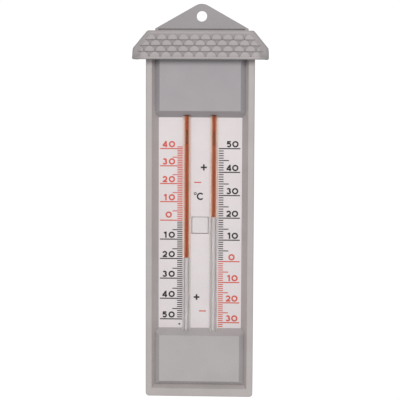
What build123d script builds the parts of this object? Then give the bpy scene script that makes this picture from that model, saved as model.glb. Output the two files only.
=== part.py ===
from build123d import *
from math import atan, cos, degrees, radians, sin, tan
import os

# Push-button maximum-minimum thermometer with a U-shaped capillary.
# Frame: origin on the hanging hole's axis at the wall plane, +X right, +Z up, +Y into the wall.
# Heights are Z values below the hole; depths are distances out from the wall, so y = -depth.
# Plane.XZ faces the viewer, so Plane.XZ.offset(depth) lies at that depth and extrudes forwards.

# ---------------------------------------------------------------- driving dimensions, mm
# hanging gable and rear cover
hole_radius = 3.1
apex_radius = 7.25
gable_angle = 29.5
gable_half_width = 27.5
gable_thickness = 3.0
rear_half_width = 29.2
rear_thickness = 2.0
rim_wall = 1.2
rim_depth = 4.0
pad_radius = 4.2
pad_front = 3.5
clamp_x = 26.5
clamp_radius = 2.0
foot_groove_height = 1.5
foot_groove_depth = 1.4
foot_groove_half = 25.5

# case
case_half_width = 31.4
case_top = -12.0
case_bottom = -222.6
case_front = 22.5
case_wall = 2.0
corner_radius = 2.0
front_edge_radius = 0.7
rail_face = 3.5
bottom_rail_face = 4.7
recess = 7.0
slope_run = 3.6
rail_skin = 1.7
floor_back = 9.0
floor_front = 10.5

# roof hood
roof_top = -8.8
roof_bottom = -25.4
roof_half_top = 31.2
roof_half_eave = 39.4
roof_front_top = 22.6
roof_front_eave = 30.0
roof_wall = 2.0
roof_top_bevel = 0.7
kick_z = -18.8
kick_half = 39.0
kick_run = 1.6
fascia_top = -23.9
fascia_step = 1.3
fascia_edge_radius = 0.9
hood_corner = 8.0
rib_xs = (-24.0, -8.0, 8.0, 24.0)
rib_wall = 1.2
snap_depths = (8.0, 14.0)
snap_heights = (-18.0, -15.5)
snap_tongue_wall = 1.4

# roof tiles, one entry per row from the top
tile_pitches = (6.3, 6.35, 6.4, 6.45)
tile_counts = (10, 11, 12, 11)
first_tile_base = -14.1
tile_row_pitch = 3.36
tile_half_width = 3.15
tile_height = 3.2
tile_length = 6.0
tile_rounding = 0.8
tile_stand = 0.7
tile_envelope = 2.2
tile_side_margin = 1.2

# covers
cover_half_face = 23.4
cover_wall = 1.6
upper_cover_top = -14.3
upper_face_end = -55.0
lower_face_top = -186.3
lower_face_end = -213.5
groove_depth = 19.0
fit_gap = 0.1

# scale plate and button
plate_half_width = 28.6
plate_thickness = 1.5
plate_top = -55.2
plate_bottom = -186.8
button_z = -122.0
button_window = 10.0
button_size = 9.4
button_recess = 0.35

# glass U tube
tube_x = 7.9
tube_depth = 16.0
tube_radius = 2.3
bore_radius = 1.05
tube_top = -53.0
bend_z = -199.6
min_bulb_radius = 4.0
max_bulb_radius = 3.4
bulb_wall = 0.7
seal_radius = 0.9
min_bulb_end = -18.5
max_bulb_end = -34.0
max_fill_top = -44.0

# liquids and index markers
liquid_gap = 0.03
min_meniscus = -141.1
max_meniscus = -117.0
index_radius = 0.35
index_length = 8.0
index_path_radius = 0.5
min_index_low = -74.2
max_index_low = -75.1
index_top_stop = -58.5

# reset mechanism
travel = 2.5
magnet_front = 12.7
magnet_thickness = 2.0
magnet_width = 4.0
magnet_half_length = 56.0
carrier_thickness = 1.8
carrier_half_width = 11.0
guide_offset = 40.0
guide_radius = 1.5
guide_clearance = 0.1
spring_coil_radius = 2.6
spring_wire_radius = 0.25
spring_turns = 5

# screws
case_screw_x = 20.0
screw_shank_radius = 1.3
screw_head_radius = 2.7
screw_clear_radius = 1.6
boss_radius = 3.2

# cover pegs, tube cradle and bend clip
peg_x = 20.5
peg_radius = 1.3
leg_radius = 1.8
cradle_z = -41.0
cradle_reach = 2.0
clip_z = -201.5
clip_half_width = 17.0
clip_half_height = 3.0
clip_foot = 2.0
clip_screw_x = 14.5
clip_screw_radius = 0.95
clip_head_radius = 1.8
clip_head_height = 1.3

# ---------------------------------------------------------------- derived dimensions
plate_front = case_front - recess
plate_back = plate_front - plate_thickness
slope_angle = degrees(atan(slope_run / recess))
skin_across = rail_skin / cos(radians(slope_angle))
window_half = case_half_width - rail_face - slope_run
window_bottom = case_bottom + bottom_rail_face + slope_run
inner_half = case_half_width - case_wall
inner_top = case_top - case_wall
inner_bottom = case_bottom + case_wall
groove_half = window_half + slope_run * (groove_depth - plate_front) / recess - fit_gap
carrier_front = magnet_front - magnet_thickness
carrier_back = carrier_front - carrier_thickness
bend_low = bend_z - tube_x - tube_radius
case_screw_zs = (-20.5, -207.5)
socket_half = case_half_width + fit_gap
socket_front = case_front + fit_gap
groove_top = roof_top + foot_groove_height
guide_zs = (button_z + guide_offset, button_z - guide_offset)


def export_piece(builder, label):
    """Label a finished piece and write its STEP file."""
    builder.part.label = label
    export_step(builder.part, f"parts/{label}.step")


def slab(x_low, x_high, depth_low, depth_high, z_low, z_high, mode=Mode.ADD):
    """A box given by its limits, with depths measured out from the wall."""
    with BuildSketch(Plane.XZ.offset(depth_low)) as face:
        with Locations(((x_low + x_high) / 2, (z_low + z_high) / 2)):
            Rectangle(x_high - x_low, z_high - z_low)
    extrude(face.sketch, amount=depth_high - depth_low, mode=mode)


def post(x, z, radius, depth_low, depth_high, mode=Mode.ADD):
    """A round post or hole that stands along the depth direction."""
    with BuildSketch(Plane.XZ.offset(depth_low)) as face:
        with Locations((x, z)):
            Circle(radius)
    extrude(face.sketch, amount=depth_high - depth_low, mode=mode)


def upright(x, depth, radius, z_low, z_high, mode=Mode.ADD):
    """A round bar or hole that runs along Z."""
    with BuildSketch(Plane.XY.offset(z_low)) as face:
        with Locations((x, -depth)):
            Circle(radius)
    extrude(face.sketch, amount=z_high - z_low, mode=mode)


# ---------------------------------------------------------------- rear cover with hanging gable
slope_x = apex_radius * sin(radians(gable_angle))
slope_z = apex_radius * cos(radians(gable_angle))
gable_foot = slope_z - (gable_half_width - slope_x) * tan(radians(gable_angle))
shoulder_z = case_top - fit_gap
tab_foot = case_top + 2 * fit_gap
rear_bottom = inner_bottom + 0.2

upper_peg_points = [(x, z) for x in (-peg_x, peg_x) for z in (-30.0, -50.0)]
lower_peg_points = [(x, z) for x in (-peg_x, peg_x) for z in (-192.0, -200.0)]
clip_screw_points = [(x, z) for x in (-clip_screw_x, clip_screw_x) for z in (cradle_z, clip_z)]
clamp_points = [(x, z) for x in (-clamp_x, clamp_x) for z in (-70.0, -122.0, -174.0)]
screw_points = [(x, z) for x in (-case_screw_x, case_screw_x) for z in case_screw_zs]
vent_length = 22.0
vent_height = 2.4
vent_zs = [-20.0 - 4.5 * i for i in range(4)]
screw_seat = 2.0


def gable_face(depth, lower_corners):
    """Gable with a rounded apex and short upright sides, continued down by the right-hand corners."""
    right = [(slope_x, slope_z), (gable_half_width, gable_foot)] + lower_corners
    left = [(-x, z) for x, z in reversed(right)]
    with BuildSketch(Plane.XZ.offset(depth)) as face:
        with BuildLine():
            Polyline(*right, *left)
            ThreePointArc((-slope_x, slope_z), (0, apex_radius), (slope_x, slope_z))
        make_face()
    return face.sketch


with BuildPart() as rear_cover:
    extrude(gable_face(0, [(gable_half_width, shoulder_z), (rear_half_width, shoulder_z),
                           (rear_half_width, rear_bottom)]), amount=rear_thickness)
    extrude(gable_face(rear_thickness, [(gable_half_width, tab_foot)]),
            amount=gable_thickness - rear_thickness)
    for side in (-1, 1):
        rim_x = side * (rear_half_width - rim_wall / 2)
        slab(rim_x - rim_wall / 2, rim_x + rim_wall / 2, rear_thickness / 2, rim_depth,
             rear_bottom, inner_top)
    slab(-rear_half_width, rear_half_width, rear_thickness / 2, rim_depth,
         rear_bottom, rear_bottom + rim_wall)
    for x, z in screw_points:
        post(x, z, pad_radius, rear_thickness / 2, pad_front)
    for x, z in clamp_points:
        post(x, z, clamp_radius, rear_thickness / 2, plate_back - fit_gap / 2)
    for z in guide_zs:
        post(0, z, guide_radius, rear_thickness / 2, magnet_front - 0.4)
    # shadow groove along the foot of the gable
    slab(-foot_groove_half, foot_groove_half, gable_thickness - foot_groove_depth, gable_thickness,
         roof_top, groove_top, mode=Mode.SUBTRACT)
    post(0, 0, hole_radius, 0, gable_thickness, mode=Mode.SUBTRACT)
    for x, z in screw_points:
        post(x, z, screw_clear_radius, 0, pad_front, mode=Mode.SUBTRACT)
        post(x, z, screw_head_radius + 0.3, 0, screw_seat, mode=Mode.SUBTRACT)
    # air slots behind the sensing bulb
    with BuildSketch(Plane.XZ):
        with Locations([(0, z) for z in vent_zs]):
            SlotOverall(vent_length, vent_height)
    extrude(amount=rear_thickness, mode=Mode.SUBTRACT)
export_piece(rear_cover, "rear_cover")


# ---------------------------------------------------------------- front case
window_top = -5.0
with BuildPart() as window_block:
    # tapered window between the rails, open to the front
    with BuildSketch(Plane.XZ.offset(plate_front)):
        with Locations((0, (window_top + window_bottom) / 2)):
            Rectangle(2 * window_half, window_top - window_bottom)
    extrude(amount=recess, taper=-slope_angle)

with BuildPart() as rail_core:
    # hollow behind the rail faces, left after the window's own skin
    slab(-inner_half, inner_half, plate_front, case_front - 1.8, inner_bottom, inner_top)
    with BuildSketch(Plane.XZ.offset(plate_front)):
        with Locations((0, (window_top + window_bottom) / 2)):
            Rectangle(2 * (window_half + skin_across),
                      window_top - window_bottom + 2 * skin_across)
    extrude(amount=recess, taper=-slope_angle, mode=Mode.SUBTRACT)

with BuildPart() as front_case:
    with BuildSketch(Plane.XZ):
        with Locations((0, (case_top + case_bottom) / 2)):
            Rectangle(2 * case_half_width, case_top - case_bottom)
        fillet(vertices().group_by(Axis.Y)[0], corner_radius)
    extrude(amount=case_front)
    fillet(faces().sort_by(Axis.Y)[0].edges(), front_edge_radius)
    add(window_block.part, mode=Mode.SUBTRACT)
    slab(-inner_half, inner_half, 0, plate_front, inner_bottom, inner_top, mode=Mode.SUBTRACT)
    add(rail_core.part, mode=Mode.SUBTRACT)
    slab(-rear_half_width - fit_gap, rear_half_width + fit_gap, 0, rear_thickness + fit_gap,
         inner_top, case_top, mode=Mode.SUBTRACT)
    slab(-inner_half, inner_half, floor_back, floor_front, plate_top + 0.4, inner_top)
    slab(-inner_half, inner_half, floor_back, floor_front, inner_bottom, plate_bottom - 0.4)
    for x, z in screw_points:
        post(x, z, boss_radius, pad_front, floor_back)
    for x, z in screw_points:
        post(x, z, screw_shank_radius + 0.05, pad_front, floor_front, mode=Mode.SUBTRACT)
    for x, z in upper_peg_points + lower_peg_points:
        post(x, z, peg_radius + fit_gap, floor_back, floor_front, mode=Mode.SUBTRACT)
    for x, z in clip_screw_points:
        post(x, z, clip_screw_radius + 0.05, floor_back, floor_front, mode=Mode.SUBTRACT)
    with BuildSketch(Plane.XZ.offset(floor_back)):
        with Locations([(0, z) for z in vent_zs]):
            SlotOverall(vent_length, vent_height)
    extrude(amount=floor_front - floor_back, mode=Mode.SUBTRACT)
    # windows in the side walls that the roof snaps into
    for side in (-1, 1):
        wall_x = side * (case_half_width - case_wall / 2)
        slab(wall_x - case_wall, wall_x + case_wall, snap_depths[0], snap_depths[1],
             snap_heights[0], snap_heights[1], mode=Mode.SUBTRACT)
export_piece(front_case, "front_case")


# ---------------------------------------------------------------- roof hood
def hood_section(z, half_width, depth, corner):
    """Plan outline of the hood: square at the wall, rounded at the two front corners."""
    with BuildSketch(Plane.XY.offset(z)) as outline:
        with BuildLine():
            Line((-half_width, 0), (half_width, 0))
            Line((half_width, 0), (half_width, corner - depth))
            RadiusArc((half_width, corner - depth), (half_width - corner, -depth), corner)
            Line((half_width - corner, -depth), (corner - half_width, -depth))
            RadiusArc((corner - half_width, -depth), (-half_width, corner - depth), corner)
            Line((-half_width, corner - depth), (-half_width, 0))
        make_face()
    return outline.sketch


def hood_front(z):
    """Depth of the sloping front of the hood at height z."""
    fall = (roof_top - z) / (roof_top - fascia_top)
    return roof_front_top + (roof_front_eave - fascia_step - roof_front_top) * fall


def hood_profile(drop, widen, deepen, corner_change):
    """Stack of hood outlines from the top down to the fascia, moved by the given offsets."""
    bevel_z = roof_top - roof_top_bevel
    kick_end = kick_z - kick_run
    levels = [
        (roof_top, roof_half_top - roof_top_bevel, roof_front_top - roof_top_bevel, 3.0),
        (bevel_z, roof_half_top + 0.1, hood_front(bevel_z), 3.3),
        (kick_z, kick_half, hood_front(kick_z), hood_corner - 1.0),
        (kick_end, roof_half_eave - 0.1, hood_front(kick_end), hood_corner - 0.4),
        (fascia_top, roof_half_eave, hood_front(fascia_top), hood_corner),
    ]
    return [hood_section(z - drop, half + widen, depth + deepen, corner + corner_change)
            for z, half, depth, corner in levels]


def tile_outline(depth, shrink):
    """Half-ellipse with its flat side down."""
    with BuildSketch(Plane.XZ.offset(depth)) as outline:
        Ellipse(tile_half_width - shrink, tile_height - shrink)
        Rectangle(3 * tile_half_width, 2 * tile_height, align=(Align.CENTER, Align.MAX),
                  mode=Mode.SUBTRACT)
    return outline.sketch


with BuildPart() as hood_envelope:
    loft(hood_profile(0, 0, 0, 0), ruled=True)
with BuildPart() as fascia_band:
    extrude(hood_section(roof_bottom, roof_half_eave, roof_front_eave, hood_corner),
            amount=fascia_top - roof_bottom)
    fillet(faces().sort_by(Axis.Z)[0].edges().filter_by(lambda edge: edge.center().Y < -0.1),
           fascia_edge_radius)

# one tile, its face at depth 0, its rim rounded in two steps
with BuildPart() as one_tile:
    extrude(tile_outline(-tile_length, 0), amount=tile_length - tile_rounding)
    loft([tile_outline(-tile_rounding, 0),
          tile_outline(-0.3 * tile_rounding, 0.3 * tile_rounding),
          tile_outline(0, tile_rounding)], ruled=True)

with BuildPart() as roof_tiles:
    for row, (pitch, count) in enumerate(zip(tile_pitches, tile_counts)):
        base_z = first_tile_base - row * tile_row_pitch
        face_depth = min(hood_front(base_z) + tile_stand, roof_front_eave)
        with Locations([((i - (count - 1) / 2) * pitch, -face_depth, base_z) for i in range(count)]):
            add(one_tile.part)
    loft(hood_profile(0, -tile_side_margin, tile_envelope, 1.5), ruled=True, mode=Mode.INTERSECT)

with BuildPart() as hood_ribs:
    for x in rib_xs:
        slab(x - rib_wall / 2, x + rib_wall / 2, socket_front, roof_front_eave,
             roof_bottom + 0.6, roof_top - 1.0)
    for side in (-1, 1):
        for depth in (5.0, 17.0):
            slab(side * 36 - 4.4, side * 36 + 4.4, depth - rib_wall / 2, depth + rib_wall / 2,
                 roof_bottom + 0.6, roof_top - 1.0)
    add(hood_envelope.part, mode=Mode.INTERSECT)

with BuildPart() as roof_canopy:
    add(hood_envelope.part)
    add(fascia_band.part)
    add(roof_tiles.part)
    loft(hood_profile(roof_wall, -roof_wall, -roof_wall, -1.0), ruled=True, mode=Mode.SUBTRACT)
    add(hood_ribs.part)
    slab(-socket_half, socket_half, 0, socket_front, roof_bottom - 1, case_top + fit_gap,
         mode=Mode.SUBTRACT)
    slab(-gable_half_width - fit_gap, gable_half_width + fit_gap, 0, gable_thickness + 0.15,
         case_top, roof_top + 1, mode=Mode.SUBTRACT)
    # snap tongues for the side windows of the case
    for side in (-1, 1):
        tongue_x = side * (socket_half + 0.1 + snap_tongue_wall / 2)
        slab(tongue_x - snap_tongue_wall / 2, tongue_x + snap_tongue_wall / 2,
             snap_depths[0] + 0.2, snap_depths[1] - 0.2, snap_heights[0], case_top + 0.5)
        slab(side * socket_half - 0.9, side * socket_half + 0.9,
             snap_depths[0] + 0.2, snap_depths[1] - 0.2, snap_heights[0] + 0.2, snap_heights[1] - 0.2)
export_piece(roof_canopy, "roof_canopy")


# ---------------------------------------------------------------- snap-in covers
def cover_outline(z):
    """Plan outline of a cover: a face between two bevels, keyed between the rail slopes."""
    back_half = window_half - fit_gap
    corners = [
        (-back_half, -plate_front),
        (-groove_half, -groove_depth),
        (-cover_half_face, -case_front),
        (cover_half_face, -case_front),
        (groove_half, -groove_depth),
        (back_half, -plate_front),
    ]
    with BuildSketch(Plane.XY.offset(z)) as outline:
        with BuildLine():
            Polyline(*corners, close=True)
        make_face()
    return outline.sketch


def cover_side(points):
    """Side outline of a cover from (depth, z) points, wide enough to cut across the whole cover."""
    with BuildSketch(Plane.YZ.offset(-case_half_width)) as outline:
        with BuildLine():
            Polyline(*[(-depth, z) for depth, z in points], close=True)
        make_face()
    return outline.sketch


def cover_legs(points):
    """Legs that stand on the case floor and end in pegs."""
    for x, z in points:
        post(x, z, leg_radius, floor_front, case_front - cover_wall)
        post(x, z, peg_radius, floor_back - 0.4, floor_front)


def tube_notches(z_low, z_high):
    """Notches that the two tube arms pass through."""
    for x in (-tube_x, tube_x):
        upright(x, tube_depth, tube_radius + 0.2, z_low, z_high, mode=Mode.SUBTRACT)


upper_bevel_foot = upper_face_end - slope_run - 0.3
lower_bevel_foot = lower_face_top + slope_run - 0.2
lower_back_low = window_bottom + fit_gap
lower_groove_low = window_bottom - slope_run * (groove_depth - plate_front) / recess + fit_gap

with BuildPart() as upper_cover:
    extrude(cover_outline(upper_bevel_foot), amount=upper_cover_top - upper_bevel_foot)
    extrude(cover_side([(plate_front, upper_cover_top), (case_front, upper_cover_top),
                        (case_front, upper_face_end), (plate_front, upper_bevel_foot)]),
            amount=2 * case_half_width, mode=Mode.INTERSECT)
    offset(amount=-cover_wall, openings=faces().sort_by(Axis.Y)[-1])
    cover_legs(upper_peg_points)
    tube_notches(upper_bevel_foot - 1, upper_face_end + 1)
export_piece(upper_cover, "upper_cover")

with BuildPart() as lower_cover:
    extrude(cover_outline(lower_groove_low - 1), amount=lower_bevel_foot - lower_groove_low + 1)
    extrude(cover_side([(plate_front, lower_bevel_foot), (case_front, lower_face_top),
                        (case_front, lower_face_end), (groove_depth, lower_groove_low),
                        (plate_front, lower_back_low)]),
            amount=2 * case_half_width, mode=Mode.INTERSECT)
    offset(amount=-cover_wall, openings=faces().sort_by(Axis.Y)[-1])
    cover_legs(lower_peg_points)
    tube_notches(lower_face_top - 1, lower_bevel_foot + 1)
export_piece(lower_cover, "lower_cover")


# ---------------------------------------------------------------- scale plate
dimple_x = -12.0
dimple_z = -180.7
dimple_radius = 0.6
dimple_deep = 0.3
channel_rib = 1.0
channel_rib_half = 3.2

with BuildPart() as scale_plate:
    slab(-plate_half_width, plate_half_width, plate_back, plate_front, plate_bottom, plate_top)
    for x in (-tube_x, tube_x):
        slab(x - channel_rib_half, x + channel_rib_half, plate_back - channel_rib, plate_back,
             plate_bottom, plate_top)
    for x in (-tube_x, tube_x):
        upright(x, tube_depth, tube_radius + 0.1, plate_bottom, plate_top, mode=Mode.SUBTRACT)
    slab(-button_window / 2, button_window / 2, plate_back - channel_rib, plate_front,
         button_z - button_window / 2, button_z + button_window / 2, mode=Mode.SUBTRACT)
    post(dimple_x, dimple_z, dimple_radius, plate_front - dimple_deep, plate_front,
         mode=Mode.SUBTRACT)
export_piece(scale_plate, "scale_plate")


# ---------------------------------------------------------------- glass U tube and its filling
def u_sweep(radius, left_top, right_top):
    """Round section swept down one arm, round the bend and up the other arm."""
    with BuildLine(Plane.XZ.offset(tube_depth)) as path:
        Line((-tube_x, left_top), (-tube_x, bend_z))
        ThreePointArc((-tube_x, bend_z), (0, bend_z - tube_x), (tube_x, bend_z))
        Line((tube_x, bend_z), (tube_x, right_top))
    with BuildSketch(Plane.XY.offset(left_top)) as section:
        with Locations((-tube_x, -tube_depth)):
            Circle(radius)
    sweep(section.sketch, path=path.line)


def bulb(x, neck_radius, radius, z_low, z_high, mode=Mode.ADD):
    """Solid of revolution: a conical shoulder, a straight barrel and a domed top."""
    shoulder = z_low + 1.4 * (radius - neck_radius)
    with BuildSketch(Plane.XZ.offset(tube_depth)) as half:
        with BuildLine():
            Line((x, z_low), (x + neck_radius, z_low))
            Line((x + neck_radius, z_low), (x + radius, shoulder))
            Line((x + radius, shoulder), (x + radius, z_high - radius))
            RadiusArc((x + radius, z_high - radius), (x, z_high), -radius)
            Line((x, z_high), (x, z_low))
        make_face()
    revolve(half.sketch, axis=Axis((x, -tube_depth, 0), (0, 0, 1)), mode=mode)


with BuildPart() as glass_bore:
    u_sweep(bore_radius, tube_top, tube_top)
    bulb(-tube_x, bore_radius, min_bulb_radius - bulb_wall, tube_top, min_bulb_end - bulb_wall)
    bulb(tube_x, bore_radius, max_bulb_radius - bulb_wall, tube_top, max_bulb_end - bulb_wall)

with BuildPart() as glass_u_tube:
    u_sweep(tube_radius, tube_top, tube_top)
    bulb(-tube_x, tube_radius, min_bulb_radius, tube_top, min_bulb_end)
    bulb(tube_x, tube_radius, max_bulb_radius, tube_top, max_bulb_end)
    # drawn-off seals at the tips of the bulbs
    for x, top in ((-tube_x, min_bulb_end), (tube_x, max_bulb_end)):
        upright(x, tube_depth, seal_radius, top - 0.4, top + 1.6)
    add(glass_bore.part, mode=Mode.SUBTRACT)
export_piece(glass_u_tube, "glass_u_tube")

fill_radius = bore_radius - liquid_gap
with BuildPart() as mercury_thread:
    u_sweep(fill_radius, min_meniscus, max_meniscus)
export_piece(mercury_thread, "mercury_thread")

with BuildPart() as spirit_min_side:
    upright(-tube_x, tube_depth, fill_radius, min_meniscus, tube_top)
    bulb(-tube_x, fill_radius, min_bulb_radius - bulb_wall - liquid_gap, tube_top,
         min_bulb_end - bulb_wall - liquid_gap)
    upright(-tube_x, tube_depth, index_path_radius, min_meniscus, index_top_stop, mode=Mode.SUBTRACT)
export_piece(spirit_min_side, "spirit_min_side")

# the expansion bulb is only part filled, with vapour above the spirit
with BuildPart() as spirit_max_side:
    upright(tube_x, tube_depth, fill_radius, max_meniscus, tube_top)
    bulb(tube_x, fill_radius, max_bulb_radius - bulb_wall - liquid_gap, tube_top,
         max_bulb_end - bulb_wall - liquid_gap)
    upright(tube_x, tube_depth, index_path_radius, max_meniscus, index_top_stop, mode=Mode.SUBTRACT)
    split(bisect_by=Plane.XY.offset(max_fill_top), keep=Keep.BOTTOM)
export_piece(spirit_max_side, "spirit_max_side")


# ---------------------------------------------------------------- index markers
def index_marker(x, low):
    """Steel pin in a glass sheath, with a small bead at each end."""
    high = low + index_length
    neck = index_radius - 0.08
    with BuildSketch(Plane.XZ.offset(tube_depth)) as half:
        with BuildLine():
            Line((x, low), (x + neck, low))
            ThreePointArc((x + neck, low), (x + index_radius, low + 0.4), (x + neck, low + 0.8))
            Line((x + neck, low + 0.8), (x + neck, high - 0.8))
            ThreePointArc((x + neck, high - 0.8), (x + index_radius, high - 0.4), (x + neck, high))
            Line((x + neck, high), (x, high))
            Line((x, high), (x, low))
        make_face()
    revolve(half.sketch, axis=Axis((x, -tube_depth, 0), (0, 0, 1)))


with BuildPart() as index_min:
    index_marker(-tube_x, min_index_low)
export_piece(index_min, "index_min")

with BuildPart() as index_max:
    index_marker(tube_x, max_index_low)
export_piece(index_max, "index_max")


# ---------------------------------------------------------------- reset button and magnet carrier
button_front = plate_front - button_recess
button_half = button_size / 2
carrier_half_height = magnet_half_length + 2.0

with BuildPart() as reset_button:
    slab(-button_half, button_half, button_front - 3.0, button_front, button_z - button_half,
         button_z + button_half)
    fillet(edges().filter_by(Axis.Y), 0.5)
    fillet(faces().sort_by(Axis.Y)[0].edges(), 0.25)
    slab(-button_half + 1.2, button_half - 1.2, button_front - 3.0, button_front - 1.4,
         button_z - button_half + 1.2, button_z + button_half - 1.2, mode=Mode.SUBTRACT)
    post(0, button_z, 2.2, carrier_front, button_front - 1.0)
    post(0, button_z, clip_screw_radius + 0.05, carrier_front, button_front - 1.6, mode=Mode.SUBTRACT)
export_piece(reset_button, "reset_button")

with BuildPart() as magnet_carrier:
    slab(-carrier_half_width, carrier_half_width, carrier_back, carrier_front,
         button_z - carrier_half_height, button_z + carrier_half_height)
    fillet(edges().filter_by(Axis.Y), 2.0)
    for side in (-1, 1):
        slab(side * 9.4 - 0.6, side * 9.4 + 0.6, carrier_back - 1.5, carrier_back,
             button_z - carrier_half_height + 3, button_z + carrier_half_height - 3)
    # stop pads that rest against the back of the scale plate
    for z in (button_z - carrier_half_height + 4, button_z + carrier_half_height - 4):
        slab(-2.5, 2.5, carrier_front, plate_back - 0.05, z - 2.5, z + 2.5)
    for z in guide_zs:
        post(0, z, guide_radius + guide_clearance, carrier_back, carrier_front, mode=Mode.SUBTRACT)
    post(0, button_z, clip_screw_radius + 0.2, carrier_back, carrier_front, mode=Mode.SUBTRACT)
export_piece(magnet_carrier, "magnet_carrier")

for name, x in (("magnet_strip_min", -tube_x), ("magnet_strip_max", tube_x)):
    with BuildPart() as magnet_strip:
        slab(x - magnet_width / 2, x + magnet_width / 2, carrier_front, magnet_front,
             button_z - magnet_half_length, button_z + magnet_half_length)
        fillet(edges().filter_by(Axis.Z), 0.3)
    export_piece(magnet_strip, name)

spring_length = carrier_back - rear_thickness - 2 * spring_wire_radius - 0.1
for name, z in zip(("return_spring_upper", "return_spring_lower"), guide_zs):
    with BuildPart() as return_spring:
        start_depth = rear_thickness + spring_wire_radius + 0.05
        coil = Helix(spring_length / spring_turns, spring_length, spring_coil_radius,
                     center=(0, -start_depth, z), direction=(0, -1, 0))
        with BuildSketch(Plane(origin=coil @ 0, z_dir=coil % 0)) as wire:
            Circle(spring_wire_radius)
        sweep(wire.sketch, path=coil, is_frenet=True)
    export_piece(return_spring, name)


# ---------------------------------------------------------------- tube mountings
cradle_front = tube_depth + 0.4
saddle_half = 4.7
foot_front = floor_front + clip_foot


def screwed_foot(z):
    """Foot plate on the case floor."""
    slab(-clip_half_width, clip_half_width, floor_front, foot_front,
         z - clip_half_height, z + clip_half_height)


def foot_holes(z):
    """Clearance holes for the two screws of a foot plate."""
    for side in (-1, 1):
        post(side * clip_screw_x, z, clip_screw_radius + 0.2, floor_front, foot_front,
             mode=Mode.SUBTRACT)


with BuildPart() as bulb_cradle:
    screwed_foot(cradle_z)
    for x in (-tube_x, tube_x):
        slab(x - saddle_half, x + saddle_half, floor_front, cradle_front,
             cradle_z - cradle_reach, cradle_z + cradle_reach)
    for x, radius in ((-tube_x, min_bulb_radius), (tube_x, max_bulb_radius)):
        upright(x, tube_depth, radius + 0.05, cradle_z - 2 * cradle_reach,
                cradle_z + 2 * cradle_reach, mode=Mode.SUBTRACT)
    foot_holes(cradle_z)
export_piece(bulb_cradle, "bulb_cradle")

bridge_half = 12.2
bridge_skin = 1.3
bridge_under = tube_depth + tube_radius + 0.05
with BuildPart() as bend_clip:
    screwed_foot(clip_z)
    slab(-bridge_half, bridge_half, floor_front, bridge_under + bridge_skin,
         clip_z - clip_half_height, clip_z + clip_half_height)
    slab(-bridge_half + bridge_skin, bridge_half - bridge_skin, floor_front, bridge_under,
         clip_z - clip_half_height, clip_z + clip_half_height, mode=Mode.SUBTRACT)
    foot_holes(clip_z)
export_piece(bend_clip, "bend_clip")

pad_half_width = 13.0
pad_half_height = 5.0
with BuildPart() as bulb_pad:
    slab(-pad_half_width, pad_half_width, tube_depth + min_bulb_radius + 0.05,
         case_front - cover_wall - 0.02, cradle_z - pad_half_height, cradle_z + pad_half_height)
export_piece(bulb_pad, "bulb_pad")

with BuildPart() as bend_pad:
    slab(-11.0, 11.0, floor_front, tube_depth - tube_radius - 0.05, bend_low + 1.0, bend_low + 4.5)
export_piece(bend_pad, "bend_pad")


# ---------------------------------------------------------------- screws
def cross_screw(x, z, head_radius, shank_radius, head_low, head_high, shank_end):
    """Pan head screw with a cross recess; the head lies between the two head depths."""
    slot_half = 0.25
    post(x, z, head_radius, min(head_low, head_high), max(head_low, head_high))
    post(x, z, shank_radius, min(head_low, shank_end), max(head_low, shank_end))
    slot = 0.55 * head_radius
    recess_floor = head_high + 0.55 * (head_low - head_high)
    for half_x, half_z in ((slot, slot_half), (slot_half, slot)):
        slab(x - half_x, x + half_x, min(recess_floor, head_high), max(recess_floor, head_high),
             z - half_z, z + half_z, mode=Mode.SUBTRACT)


with BuildPart() as case_screws:
    for x, z in screw_points:
        cross_screw(x, z, screw_head_radius, screw_shank_radius, screw_seat, 0.2, floor_front - 0.4)
export_piece(case_screws, "case_screws")

with BuildPart() as clip_screws:
    for x, z in clip_screw_points:
        cross_screw(x, z, clip_head_radius, clip_screw_radius, foot_front,
                    foot_front + clip_head_height, floor_back + 0.1)
export_piece(clip_screws, "clip_screws")

with BuildPart() as button_screw:
    cross_screw(0, button_z, clip_head_radius, clip_screw_radius, carrier_back,
                carrier_back - clip_head_height, button_front - 2.0)
export_piece(button_screw, "button_screw")
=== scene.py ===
"""Looks of a wall-hung maximum minimum thermometer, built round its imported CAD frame.

The CAD nodes keep their shapes and get moulded, glass and metal materials. The printed scale,
the coloured liquid in the bore and the return springs are made here. Sizes are in millimetres
and are turned into metres where a mesh is built. The origin is the hanging hole at the wall,
the front faces -Y and Z is up.
"""
import math

import bmesh
import bpy
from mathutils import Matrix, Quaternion, Vector


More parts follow.
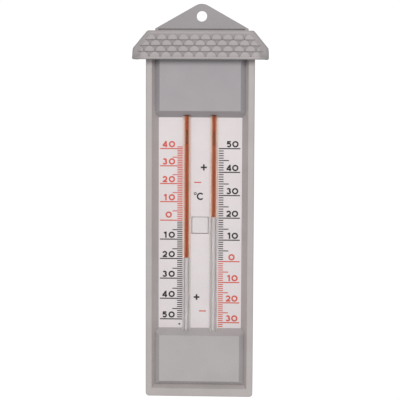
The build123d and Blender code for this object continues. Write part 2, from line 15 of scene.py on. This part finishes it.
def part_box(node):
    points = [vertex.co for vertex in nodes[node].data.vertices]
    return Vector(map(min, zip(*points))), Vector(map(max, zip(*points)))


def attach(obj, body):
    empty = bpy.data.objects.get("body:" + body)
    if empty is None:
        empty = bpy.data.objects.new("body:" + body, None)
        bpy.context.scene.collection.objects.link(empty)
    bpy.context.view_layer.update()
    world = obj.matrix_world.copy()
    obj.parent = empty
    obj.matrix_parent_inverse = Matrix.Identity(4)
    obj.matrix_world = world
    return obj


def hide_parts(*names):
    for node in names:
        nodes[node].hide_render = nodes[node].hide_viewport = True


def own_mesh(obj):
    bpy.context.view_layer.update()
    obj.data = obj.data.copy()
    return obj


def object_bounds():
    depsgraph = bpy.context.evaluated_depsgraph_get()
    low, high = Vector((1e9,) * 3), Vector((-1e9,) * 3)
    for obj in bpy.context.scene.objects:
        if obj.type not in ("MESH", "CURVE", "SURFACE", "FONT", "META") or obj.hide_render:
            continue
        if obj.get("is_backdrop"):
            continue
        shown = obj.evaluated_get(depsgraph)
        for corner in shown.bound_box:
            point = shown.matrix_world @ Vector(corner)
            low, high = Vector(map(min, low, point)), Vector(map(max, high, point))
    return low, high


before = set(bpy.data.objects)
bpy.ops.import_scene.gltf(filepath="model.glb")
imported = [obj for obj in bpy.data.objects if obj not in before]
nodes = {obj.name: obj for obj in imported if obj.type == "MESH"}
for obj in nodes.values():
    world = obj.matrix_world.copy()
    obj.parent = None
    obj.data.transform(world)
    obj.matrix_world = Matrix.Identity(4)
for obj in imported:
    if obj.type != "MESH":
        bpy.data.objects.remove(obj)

cad_low, cad_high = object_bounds()
MM = 0.001

# ---------------------------------------------------------------- sizes, mm
arm_x = 7.9                 # each arm of the U tube stands this far from the middle
arm_y = -16.0               # axis of both arms
plate_y = -15.5             # front of the scale plate
bore_reach = 1.365          # a little more than the radius of the bore
index_path = 0.6            # a little more than the radius of the index's path
gate_x, gate_z = -12.0, -180.7
gate_radius = 0.7           # the gate mark's dimple, with a little room

# printing
print_thickness = 0.06
print_sunk = 0.03
stroke_lift = 0.012         # between strokes of a numeral that cross
least_mitre_cosine = 0.5

# ticks and numerals
tick_thickness = 0.55
tens_thickness = 0.62
numeral_height = 3.72
numeral_stroke = 0.88
numeral_gap = 0.42          # between a tens line and the numeral above it

# signs on the middle strip
plus_signs = ((2.05, -88.0, 1.8), (-1.9, -164.6, 1.7))      # x, z and half length
plus_stroke = 0.95
minus_signs = ((-1.5, -96.8), (1.65, -172.85))
minus_half, minus_stroke = 2.1, 0.65
degree_at, degree_radius, degree_stroke = (-2.9, -103.4), 0.65, 0.42
unit_at, unit_radius, unit_stroke = (0.15, -105.0), 1.75, 0.88
unit_opening = 42           # degrees above and below the level

# roof slope under the tiles
slope_top, slope_foot = -8.8, -23.9     # heights
slope_front = (22.6, 28.7)  # depths at the top and the foot
hip_run = 0.78              # a hip goes this far out per mm down

# painted shade in the valleys between the tiles
valley_lift = (0.2, 1.1)    # fades between these rises over the slope
valley_top = (-11.1, -10.3) # fades between these heights
valley_side = (18.0, 20.5)  # fades between these x, carried along the hip to z = 0
valley_shade_tone = 0.84

# liquid
liquid_top = -53.3
shell_radius = 0.60
core_radius = 0.15
core_inset = 0.1
meniscus_dome = 0.35        # depth of the domed foot over the radius

# spring
coil_radius = 2.6
wire_radius = 0.25
coil_turns = 6
dead_turns = 1.0            # closed turns at each end

# ---------------------------------------------------------------- studio, metres
floor_radius, floor_height = 1.2, -0.55
key_offset = Vector((0.0, -1.15, 0.46))
key_size, key_power = 0.45, 7.7
ambient_strength = 0.46
seen_strength = 1.05
camera_azimuth = math.radians(2.4)
camera_elevation = math.radians(5.5)
camera_roll = math.radians(0.25)
camera_distance = 0.8
camera_lens = 122.5
aim_offset = Vector((-0.00025, 0.003, 0.0002))


# ---------------------------------------------------------------- materials
# Noise scales are in features per metre, and bump depths are in metres.
plastic_specular = 0.4
patch_scale = 60.0
pit_tone = 0.90
plastic_gloss_swing = 0.08


def feed(tree, target, **inputs):
    """Feeds sockets of a node by name, from other sockets or with plain values."""
    for name, value in inputs.items():
        socket = target.inputs[name.replace("_", " ")]
        if isinstance(value, bpy.types.NodeSocket):
            tree.links.new(value, socket)
        else:
            socket.default_value = value


def node(tree, kind, **inputs):
    """A new shader node with some of its sockets fed."""
    made = tree.nodes.new(kind)
    feed(tree, made, **inputs)
    return made


def grey(level, warm=0.0):
    """A linear grey with a little more red than blue."""
    return (level * (1 + warm), level, level * (1 - warm * 0.6), 1.0)


def noise(tree, place, scale, detail=2.0, stretch=None):
    """Noise over the piece's own coordinates."""
    source = place.outputs["Object"]
    if stretch:
        source = node(tree, "ShaderNodeMapping", Scale=stretch, Vector=source).outputs["Vector"]
    made = node(tree, "ShaderNodeTexNoise", Scale=scale, Detail=detail, Vector=source)
    return made.outputs["Fac"]


def ramp(tree, factor, low, high, start=0.3, end=0.7):
    """Colour ramp between two colours."""
    made = node(tree, "ShaderNodeValToRGB", Fac=factor)
    first, last = made.color_ramp.elements
    first.position, last.position = start, end
    first.color, last.color = low, high
    return made.outputs["Color"]


def spread(tree, factor, low, high):
    """Maps a 0 to 1 factor to a range."""
    return node(tree, "ShaderNodeMapRange", To_Min=low, To_Max=high, Value=factor).outputs["Result"]


def fade(tree, value, start, end):
    """1 below start, 0 past end and a straight line between; start and end are in mm."""
    made = node(tree, "ShaderNodeMapRange", From_Min=start * MM, From_Max=end * MM,
                To_Min=1.0, To_Max=0.0, Value=value)
    return made.outputs["Result"]


def arithmetic(tree, operation, *values):
    """A Math node over sockets and numbers."""
    made = tree.nodes.new("ShaderNodeMath")
    made.operation = operation
    for socket, value in zip(made.inputs, values):
        if isinstance(value, bpy.types.NodeSocket):
            tree.links.new(value, socket)
        else:
            socket.default_value = value
    return made.outputs["Value"]


def multiplied(tree, factor, first, second):
    """The first colour times the second, as far as the factor says."""
    made = tree.nodes.new("ShaderNodeMix")
    made.data_type, made.blend_type = "RGBA", "MULTIPLY"
    feed(tree, made, Factor=factor, A=first, B=second)
    return made.outputs["Result"]


def bumped(tree, shader, height, distance):
    """Gives the shader a bump from a height signal."""
    made = node(tree, "ShaderNodeBump", Strength=1.0, Distance=distance, Height=height)
    feed(tree, shader, Normal=made.outputs["Normal"])


def material(name):
    """An empty node material: its tree, its Principled shader and its coordinates."""
    made = bpy.data.materials.new(name)
    made.use_nodes = True
    tree = made.node_tree
    shader = tree.nodes["Principled BSDF"]
    return made, tree, shader, tree.nodes.new("ShaderNodeTexCoord")


def dressed(tree, shader, signal, dark, light, rough_low, rough_high, depth=None):
    """Feeds the shader's colour, roughness and, with a depth, its bump from one signal."""
    feed(tree, shader, Base_Color=ramp(tree, signal, dark, light),
         Roughness=spread(tree, signal, rough_low, rough_high))
    if depth:
        bumped(tree, shader, signal, depth)


def lit_behind(tree, shader, shade):
    """Lets lamps shine through the piece on what lies behind it, a little dimmed."""
    clear = node(tree, "ShaderNodeBsdfTransparent", Color=shade)
    path = tree.nodes.new("ShaderNodeLightPath")
    either = tree.nodes.new("ShaderNodeMixShader")
    tree.links.new(path.outputs["Is Shadow Ray"], either.inputs["Fac"])
    tree.links.new(shader.outputs["BSDF"], either.inputs[1])
    tree.links.new(clear.outputs["BSDF"], either.inputs[2])
    tree.links.new(either.outputs["Shader"], tree.nodes["Material Output"].inputs["Surface"])


def moulded(name, dark, light, rough, grain=1600.0, grain_depth=0.00003):
    """Injection-moulded plastic: soft patches of tone, a spark-eroded grain and uneven gloss."""
    made, tree, shader, place = material(name)
    shader.inputs["Specular IOR Level"].default_value = plastic_specular
    patches = noise(tree, place, patch_scale, 5.0)
    grains = noise(tree, place, grain, 3.0)
    tone = ramp(tree, patches, dark, light)
    speck = ramp(tree, grains, grey(pit_tone), grey(1.0), 0.25, 0.6)
    gloss = spread(tree, patches, rough - plastic_gloss_swing, rough + plastic_gloss_swing)
    feed(tree, shader, Base_Color=multiplied(tree, 1.0, tone, speck), Roughness=gloss)
    bumped(tree, shader, grains, grain_depth)
    return made


def paint_valley_shade(made):
    """Paints shade into the colour of moulded tiles where the surface lies low, close to the slope
    they stand on, as in the shaded valleys between them.
    """
    tree = made.node_tree
    shader = tree.nodes["Principled BSDF"]
    before = shader.inputs["Base Color"].links[0].from_socket
    place = tree.nodes.new("ShaderNodeTexCoord")
    split = node(tree, "ShaderNodeSeparateXYZ", Vector=place.outputs["Object"])
    x, y, z = (split.outputs[axis] for axis in "XYZ")
    rise = (slope_front[1] - slope_front[0]) / (slope_top - slope_foot)
    plain = arithmetic(tree, "MULTIPLY_ADD", z, rise, (-slope_front[0] - slope_top * rise) * MM)
    height = arithmetic(tree, "MULTIPLY_ADD", y, -1.0, plain)
    aside = arithmetic(tree, "MULTIPLY_ADD", z, hip_run, arithmetic(tree, "ABSOLUTE", x))
    low = fade(tree, height, *valley_lift)
    under = fade(tree, z, *valley_top)
    within = fade(tree, aside, *valley_side)
    painted_shade = arithmetic(tree, "MULTIPLY", arithmetic(tree, "MULTIPLY", low, under), within)
    # painted shade: the base colour darkens low in the valleys between the tiles
    feed(tree, shader, Base_Color=multiplied(tree, painted_shade, before, grey(valley_shade_tone)))


def metal(name, dark, light, rough, stretch=(1.0, 1.0, 1.0), scale=900.0, metallic=1.0,
          marked=0.00002, behind=None):
    """Bare or plated metal with drawn or turned marks; behind is the tint of light let past it."""
    made, tree, shader, place = material(name)
    shader.inputs["Metallic"].default_value = metallic
    marks = noise(tree, place, scale, 4.0, stretch)
    dressed(tree, shader, marks, dark, light, rough - 0.07, rough + 0.1, marked)
    if behind:
        lit_behind(tree, shader, behind)
    return made


def printed(name, dark, light):
    """Screen-printed ink with slightly uneven cover."""
    made, tree, shader, place = material(name)
    cover = noise(tree, place, 2600.0, 3.0)
    dressed(tree, shader, cover, dark, light, 0.42, 0.6, 0.00001)
    return made


def clear_glass(name, tint, ior):
    """Drawn glass, with faint waves along the draw."""
    made, tree, shader, place = material(name)
    shader.inputs["Transmission Weight"].default_value = 1.0
    shader.inputs["IOR"].default_value = ior
    waves = noise(tree, place, 60.0, 1.0, (1.0, 1.0, 0.1))
    dressed(tree, shader, waves, tint, grey(1.0), 0.0, 0.03, 0.000001)
    lit_behind(tree, shader, grey(0.91))
    return made


def dyed_liquid(name, dark, light, clear):
    """Dyed spirit with a slow change of tone along it, see-through as far as clear says."""
    made, tree, shader, place = material(name)
    shader.inputs["Transmission Weight"].default_value = clear
    shader.inputs["IOR"].default_value = 1.0
    drift = noise(tree, place, 220.0, 2.0, (1.0, 1.0, 0.3))
    dressed(tree, shader, drift, dark, light, 0.05, 0.15)
    if clear:
        lit_behind(tree, shader, (1.0, 0.95, 0.92, 1))
    return made


def felt(name, dark, light):
    """Pressed wool felt."""
    made, tree, shader, place = material(name)
    shader.inputs["Sheen Weight"].default_value = 0.4
    fibres = noise(tree, place, 1400.0, 6.0, (1.0, 3.0, 1.0))
    dressed(tree, shader, fibres, dark, light, 0.85, 1.0, 0.0002)
    return made


case_grey = moulded("case_grey", (0.47, 0.43, 0.425, 1), (0.51, 0.47, 0.465, 1), 0.55)
rear_grey = moulded("rear_grey", (0.36, 0.335, 0.34, 1), (0.40, 0.375, 0.38, 1), 0.55)
roof_grey = moulded("roof_grey", (0.42, 0.39, 0.385, 1), (0.46, 0.43, 0.425, 1), 0.58)
# the roof's plastic gets painted shade in the valleys between its tiles
paint_valley_shade(roof_grey)
cover_grey = moulded("cover_grey", (0.445, 0.42, 0.42, 1), (0.485, 0.455, 0.455, 1), 0.5)
upper_grey = moulded("upper_grey", (0.365, 0.345, 0.36, 1), (0.40, 0.375, 0.39, 1), 0.5)
# painted shade for the dimple of the gate mark on the scale plate
gate_dimple_shade = moulded("gate_dimple_shade", (0.10, 0.09, 0.10, 1), (0.16, 0.15, 0.16, 1), 0.6)
scale_white = moulded("scale_white", (0.76, 0.70, 0.705, 1), (0.80, 0.74, 0.745, 1), 0.42,
                      grain=2400.0, grain_depth=0.00001)
button_white = moulded("button_white", (0.73, 0.68, 0.69, 1), (0.78, 0.73, 0.74, 1), 0.38)
carrier_plastic = moulded("carrier_plastic", grey(0.55), grey(0.62), 0.45)
magnet_rubber = moulded("magnet_rubber", grey(0.018), grey(0.04), 0.7, grain=2200.0)
mercury = metal("mercury", (0.54, 0.505, 0.50, 1), (0.58, 0.545, 0.54, 1), 0.5, scale=60.0,
                metallic=0.1, marked=0.000001, behind=grey(0.75))
index_steel = metal("index_steel", (0.10, 0.07, 0.06, 1), (0.14, 0.10, 0.08, 1), 0.45,
                    (6.0, 6.0, 1.0), metallic=0.6)
spring_steel = metal("spring_steel", (0.42, 0.41, 0.40, 1), (0.58, 0.57, 0.56, 1), 0.3,
                     (1.0, 8.0, 1.0))
screw_zinc = metal("screw_zinc", (0.50, 0.50, 0.52, 1), (0.66, 0.66, 0.68, 1), 0.32)
tube_glass = clear_glass("tube_glass", (0.97, 0.97, 0.96, 1), 1.42)
bore_clear = clear_glass("bore_clear", grey(0.99), 1.0)
spirit = dyed_liquid("spirit", (0.86, 0.56, 0.41, 1), (0.90, 0.61, 0.46, 1), 1.0)
spirit_shell = dyed_liquid("spirit_shell", (0.98, 0.50, 0.31, 1), (1.0, 0.56, 0.36, 1), 0.9)
spirit_core = dyed_liquid("spirit_core", (0.54, 0.065, 0.028, 1), (0.60, 0.08, 0.035, 1), 0.0)
felt_grey = felt("felt", grey(0.25, 0.05), grey(0.42, 0.05))
ink_black = printed("ink_black", (0.006, 0.005, 0.006, 1), (0.016, 0.013, 0.014, 1))
ink_red = printed("ink_red", (0.60, 0.070, 0.045, 1), (0.68, 0.10, 0.065, 1))

finish_of = {
    "front_case": case_grey, "rear_cover": rear_grey, "roof_canopy": roof_grey,
    "upper_cover": upper_grey, "lower_cover": cover_grey, "scale_plate": scale_white,
    "reset_button": button_white, "magnet_carrier": carrier_plastic,
    "bulb_cradle": carrier_plastic, "bend_clip": carrier_plastic,
    "magnet_strip_min": magnet_rubber, "magnet_strip_max": magnet_rubber,
    "mercury_thread": mercury, "index_min": index_steel, "index_max": index_steel,
    "return_spring_upper": spring_steel, "return_spring_lower": spring_steel,
    "button_screw": screw_zinc, "case_screws": screw_zinc, "clip_screws": screw_zinc,
    "glass_u_tube": tube_glass, "spirit_min_side": spirit, "spirit_max_side": spirit,
    "bulb_pad": felt_grey, "bend_pad": felt_grey,
}
for name, finish in finish_of.items():
    slots = nodes[name].data.materials
    slots.clear()
    slots.append(finish)


# ---------------------------------------------------------------- second finishes of CAD nodes
def second_finish(name, finish, chosen):
    """Gives a CAD node's faces another material where chosen, by their centres in mm."""
    data = nodes[name].data
    data.materials.append(finish)
    for face in data.polygons:
        if chosen(face.center / MM):
            face.material_index = 1


def from_arm(point):
    """Distance from the axis of the nearer arm."""
    return math.hypot(abs(point.x) - arm_x, point.y - arm_y)


# glass bends light only at its outside, so the wall of the bore is clear
second_finish("glass_u_tube", bore_clear, lambda at: from_arm(at) < bore_reach)

# the thin path of the index through the spirit isn't tinted twice
for name in ("spirit_min_side", "spirit_max_side"):
    second_finish(name, bore_clear, lambda at: from_arm(at) < index_path)

# the moulding's gate mark is a dimple low on the scale plate, with painted shade in it
second_finish("scale_plate", gate_dimple_shade,
              lambda at: math.hypot(at.x - gate_x, at.z - gate_z) < gate_radius)


# ---------------------------------------------------------------- pieces
smooth_angle = math.radians(40.0)


def piece(name, mesh_maker, finishes, replaces=()):
    """A new mesh piece that rides on the casing."""
    made = bmesh.new()
    mesh_maker(made)
    bmesh.ops.recalc_face_normals(made, faces=made.faces)
    data = bpy.data.meshes.new(name)
    made.to_mesh(data)
    made.free()
    for finish in finishes:
        data.materials.append(finish)
    obj = bpy.data.objects.new(name, data)
    bpy.context.scene.collection.objects.link(obj)
    data.shade_smooth()
    data.set_sharp_from_angle(angle=smooth_angle)
    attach(obj, "casing")
    if replaces:
        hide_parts(*replaces)
    return obj


def stroke(mesh, line, width, closed=False, lift=0.0):
    """A printed stroke along a line of (x, z) points, as a strip of quads with mitred bends.

    Strokes that cross each other get different lifts, so that their faces don't coincide.
    """
    count = len(line)
    rows = []
    for i, (x, z) in enumerate(line):
        before = line[i - 1] if i or closed else None
        after = line[(i + 1) % count] if i < count - 1 or closed else None
        ways = []
        if before:
            ways.append(Vector((x - before[0], z - before[1])).normalized())
        if after:
            ways.append(Vector((after[0] - x, after[1] - z)).normalized())
        along = sum(ways, Vector((0, 0))).normalized()
        reach = width / 2 / max(least_mitre_cosine, along.dot(ways[0]))
        side = Vector((-along.y, along.x)) * reach
        rows.append([(x + side.x, z + side.y), (x - side.x, z - side.y)])
    y_front = (plate_y - print_thickness - lift) * MM
    y_back = (plate_y + print_sunk) * MM
    made = [[mesh.verts.new((x * MM, y, z * MM)) for x, z in row for y in (y_front, y_back)]
            for row in rows]
    last = count if closed else count - 1
    for i in range(last):
        a, b = made[i], made[(i + 1) % count]
        for j, k in ((0, 1), (1, 3), (3, 2), (2, 0)):
            mesh.faces.new((a[j], a[k], b[k], b[j]))
    if not closed:
        mesh.faces.new((made[0][0], made[0][1], made[0][3], made[0][2]))
        mesh.faces.new((made[-1][0], made[-1][2], made[-1][3], made[-1][1]))


def arc(cx, cz, radius, start, end, steps=14, tall=None):
    """Points on a round or oval arc, angles in degrees from +x."""
    turn = (end - start) / steps
    return [(cx + radius * math.cos(math.radians(start + turn * i)),
             cz + (tall or radius) * math.sin(math.radians(start + turn * i)))
            for i in range(steps + 1)]


def numeral_strokes(digit):
    """Centrelines of one numeral, with its foot at z = 0, as (points, closed) pairs."""
    foot = numeral_stroke / 2
    top = numeral_height - foot
    tall = top - foot
    stem_x = 2.05
    stem = ([(stem_x, 0.0), (stem_x, numeral_height)], False)
    if digit == 0:
        middle = numeral_height / 2
        ring = arc(middle, middle, middle - foot, 0, 360, 36)
        return [(ring[:-1], True)]
    if digit == 1:
        return [stem, ([(0.95, 2.75), (1.9, 3.45)], False)]
    if digit == 2:
        curve = arc(1.40, top - 1.0, 1.0, 165, -28)
        return [(curve + [(0.45, 0.35)], False), ([(0.15, foot), (2.75, foot)], False)]
    if digit == 3:
        small, large = 0.23 * tall, 0.27 * tall
        upper = arc(1.35, top - small, 0.82, 160, -80, tall=small)
        lower = arc(1.35, foot + large, 0.97, 80, -160, tall=large)
        return [(upper, False), (lower, False)]
    if digit == 4:
        bar = [(0.05, 1.0), (2.85, 1.0)]
        slope = [(0.30, 1.05), (1.95, top + 0.05)]
        return [stem, (bar, False), (slope, False)]
    bowl = arc(1.35, foot + 0.92, 0.96, 128, -150)
    return [([(2.45, top), (0.72, top), (0.55, 1.75)], False), (bowl, False)]


def numeral(mesh, digit, x, z):
    """One printed numeral, 0 to 5, with its lower left corner at x, z."""
    for i, (line, closed) in enumerate(numeral_strokes(digit)):
        stroke(mesh, [(x + px, z + pz) for px, pz in line], numeral_stroke, closed,
               stroke_lift * i)


def min_height(t):
    """Height of a temperature on the left, falling scale, whose degrees widen with warmth."""
    return -119.18 - 1.1049 * t - 0.00134 * t * t


def max_height(t):
    """Height of a temperature on the right, rising scale, whose degrees widen with warmth."""
    return -143.35 + 1.2546 * t + 0.00147 * t * t


# x where ticks start (root) and end, and x of the left side of numerals
min_side = {
    "height": min_height, "root": -10.4, "minor": -13.4, "five": -16.2, "ten": -23.5,
    "tens_x": -22.1, "units_x": -18.45, "lone_x": -20.3, "lone_lift": 0.7,
}
max_side = {
    "height": max_height, "root": 10.75, "minor": 13.6, "five": 16.65, "ten": 23.3,
    "tens_x": 15.25, "units_x": 18.55, "lone_x": 16.7, "lone_lift": 0.0,
}


def print_degrees(side, degrees):
    """Ticks and numerals of one side for a run of whole degrees."""
    def build(mesh):
        for t in degrees:
            z = side["height"](t)
            if t % 10:
                reach = side["minor"] if t % 5 else side["five"]
                stroke(mesh, [(side["root"], z), (reach, z)], tick_thickness)
                continue
            stroke(mesh, [(side["root"], z), (side["ten"], z)], tens_thickness)
            foot = z + tens_thickness / 2 + numeral_gap
            if t == 0:
                numeral(mesh, 0, side["lone_x"], foot + side["lone_lift"])
            else:
                numeral(mesh, abs(t) // 10, side["tens_x"], foot)
                numeral(mesh, 0, side["units_x"], foot)
    return build


def plus_and_unit(mesh):
    """Black plus signs, the degree ring and the C on the middle strip."""
    for x, z, half in plus_signs:
        stroke(mesh, [(x - half, z), (x + half, z)], plus_stroke)
        stroke(mesh, [(x, z + plus_stroke / 2), (x, z + half)], plus_stroke)
        stroke(mesh, [(x, z - plus_stroke / 2), (x, z - half)], plus_stroke)
    stroke(mesh, arc(*degree_at, degree_radius, 0, 360, 24)[:-1], degree_stroke, True)
    stroke(mesh, arc(*unit_at, unit_radius, unit_opening, 360 - unit_opening, 30), unit_stroke)


def minus_pair(mesh):
    """Red minus signs on the middle strip."""
    for x, z in minus_signs:
        stroke(mesh, [(x - minus_half, z), (x + minus_half, z)], minus_stroke)


piece("print_min_frost", print_degrees(min_side, range(-41, 1)), [ink_red])
piece("print_min_warm", print_degrees(min_side, range(1, 51)), [ink_black])
piece("print_max_warm", print_degrees(max_side, range(1, 51)), [ink_black])
piece("print_max_frost", print_degrees(max_side, range(-32, 1)), [ink_red])
piece("print_plus_and_unit", plus_and_unit, [ink_black])
piece("print_minus_signs", minus_pair, [ink_red])


# ---------------------------------------------------------------- liquid
def column(mesh, x, y, radius, low, high, segments=32, finish=0):
    """A closed round column in an arm, with a domed meniscus at its foot and a chamfered top."""
    rings = 24
    dome = meniscus_dome * radius
    levels = [(low - dome * 0.8, 0.55), (low, 1.0)]
    levels += [(low + (high - low) * i / rings, 1.0) for i in range(1, rings)]
    levels += [(high - 0.05, 1.0), (high, 0.8)]
    foot = mesh.verts.new((x * MM, y * MM, (low - dome) * MM))
    hoops = []
    for z, share in levels:
        hoop = []
        for s in range(segments):
            turn = 2 * math.pi * s / segments
            hoop.append(mesh.verts.new(((x + radius * share * math.cos(turn)) * MM,
                                        (y + radius * share * math.sin(turn)) * MM, z * MM)))
        hoops.append(hoop)
    made = [mesh.faces.new((foot, hoops[0][(s + 1) % segments], hoops[0][s]))
            for s in range(segments)]
    for lower, upper in zip(hoops, hoops[1:]):
        for s in range(segments):
            t = (s + 1) % segments
            made.append(mesh.faces.new((lower[s], lower[t], upper[t], upper[s])))
    made.append(mesh.faces.new(hoops[-1]))
    for face in made:
        face.material_index = finish


def liquid(x, low):
    """The dyed spirit in one arm, a tinted column with its dark optical core."""
    def build(mesh):
        column(mesh, x, arm_y, shell_radius, low, liquid_top)
        column(mesh, x, arm_y, core_radius, low + core_inset, liquid_top - core_inset,
               segments=20, finish=1)
    return build


for side, x in (("min", -arm_x), ("max", arm_x)):
    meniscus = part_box("spirit_" + side + "_side")[0].z / MM
    piece("spirit_column_" + side, liquid(x, meniscus), [spirit_shell, spirit_core])


# ---------------------------------------------------------------- return springs
def coil(low, high):
    """A compression spring with closed ends along Y, between two corners of its box."""
    def build(mesh):
        x, z = (low.x + high.x) / 2, (low.z + high.z) / 2
        wire, radius = wire_radius * MM, coil_radius * MM
        first, last = high.y - wire, low.y + wire
        steps, around = 40 * coil_turns, 10
        rings = []
        for i in range(steps + 1):
            turns = coil_turns * i / steps
            live = (turns - dead_turns) / (coil_turns - 2 * dead_turns)
            live = min(max(live, 0.0), 1.0)
            dead = min(turns, dead_turns) + max(turns - coil_turns + dead_turns, 0.0)
            y = first + (last - first + 4 * wire * dead_turns) * live - 2 * wire * dead
            turn = 2 * math.pi * turns
            ring = []
            for s in range(around):
                spin = 2 * math.pi * s / around
                reach = radius + wire * math.cos(spin)
                ring.append(mesh.verts.new((x + reach * math.cos(turn),
                                            y + wire * math.sin(spin),
                                            z + reach * math.sin(turn))))
            rings.append(ring)
        for a, b in zip(rings, rings[1:]):
            for s in range(around):
                t = (s + 1) % around
                mesh.faces.new((a[s], a[t], b[t], b[s]))
        mesh.faces.new(rings[0])
        mesh.faces.new(list(reversed(rings[-1])))
    return build


for name in ("return_spring_upper", "return_spring_lower"):
    low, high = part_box(name)
    made = piece(name.replace("return_spring", "coil_spring"), coil(low, high),
                 [spring_steel], replaces=[name])
    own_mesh(made)


# ---------------------------------------------------------------- floor, light and camera
def floor_disc(radius, height):
    """A wide, flat, pale disc below the object."""
    made = bmesh.new()
    bmesh.ops.create_circle(made, cap_ends=True, segments=96, radius=radius)
    data = bpy.data.meshes.new("floor")
    made.to_mesh(data)
    made.free()
    obj = bpy.data.objects.new("floor", data)
    obj.location = (0, 0, height)
    bpy.context.scene.collection.objects.link(obj)
    pale, tree, shader, place = material("floor_pale")
    patches = noise(tree, place, 3.0)
    feed(tree, shader, Base_Color=ramp(tree, patches, grey(0.86), grey(0.90)), Roughness=0.9)
    data.materials.append(pale)
    obj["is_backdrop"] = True


def softbox(name, place, aim, size, power):
    """A square area light that faces a point."""
    lamp = bpy.data.lights.new(name, "AREA")
    lamp.shape = "SQUARE"
    lamp.size = size
    lamp.energy = power
    obj = bpy.data.objects.new(name, lamp)
    obj.location = place
    obj.rotation_mode = "QUATERNION"
    obj.rotation_quaternion = (aim - place).to_track_quat("-Z", "Y")
    bpy.context.scene.collection.objects.link(obj)


def studio_world():
    """A soft white surround that lights the object less than the camera sees it shine."""
    world = bpy.data.worlds.new("studio")
    world.use_nodes = True
    sky = world.node_tree
    ambient = sky.nodes["Background"]
    feed(sky, ambient, Color=(1, 1, 1, 1), Strength=ambient_strength)
    seen = node(sky, "ShaderNodeBackground", Color=(1, 1, 1, 1), Strength=seen_strength)
    path = sky.nodes.new("ShaderNodeLightPath")
    either = sky.nodes.new("ShaderNodeMixShader")
    sky.links.new(path.outputs["Is Camera Ray"], either.inputs["Fac"])
    sky.links.new(ambient.outputs["Background"], either.inputs[1])
    sky.links.new(seen.outputs["Background"], either.inputs[2])
    sky.links.new(either.outputs["Shader"], sky.nodes["World Output"].inputs["Surface"])
    return world


middle = (cad_low + cad_high) / 2
floor_disc(floor_radius, floor_height)
softbox("key_light", middle + key_offset, middle, key_size, key_power)
bpy.context.scene.world = studio_world()
bpy.context.scene.view_settings.view_transform = "Standard"

lens = bpy.data.cameras.new("camera")
lens.sensor_width = 36.0
lens.lens = camera_lens
lens.clip_start, lens.clip_end = 0.01, 20.0
camera = bpy.data.objects.new("camera", lens)
back = Vector((math.sin(camera_azimuth) * math.cos(camera_elevation),
               -math.cos(camera_azimuth) * math.cos(camera_elevation),
               math.sin(camera_elevation)))
camera.location = middle + aim_offset + back * camera_distance
camera.rotation_mode = "QUATERNION"
facing = (-back).to_track_quat("-Z", "Y")
camera.rotation_quaternion = facing @ Quaternion((0, 0, 1), camera_roll)
bpy.context.scene.collection.objects.link(camera)
bpy.context.scene.camera = camera

low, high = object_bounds()
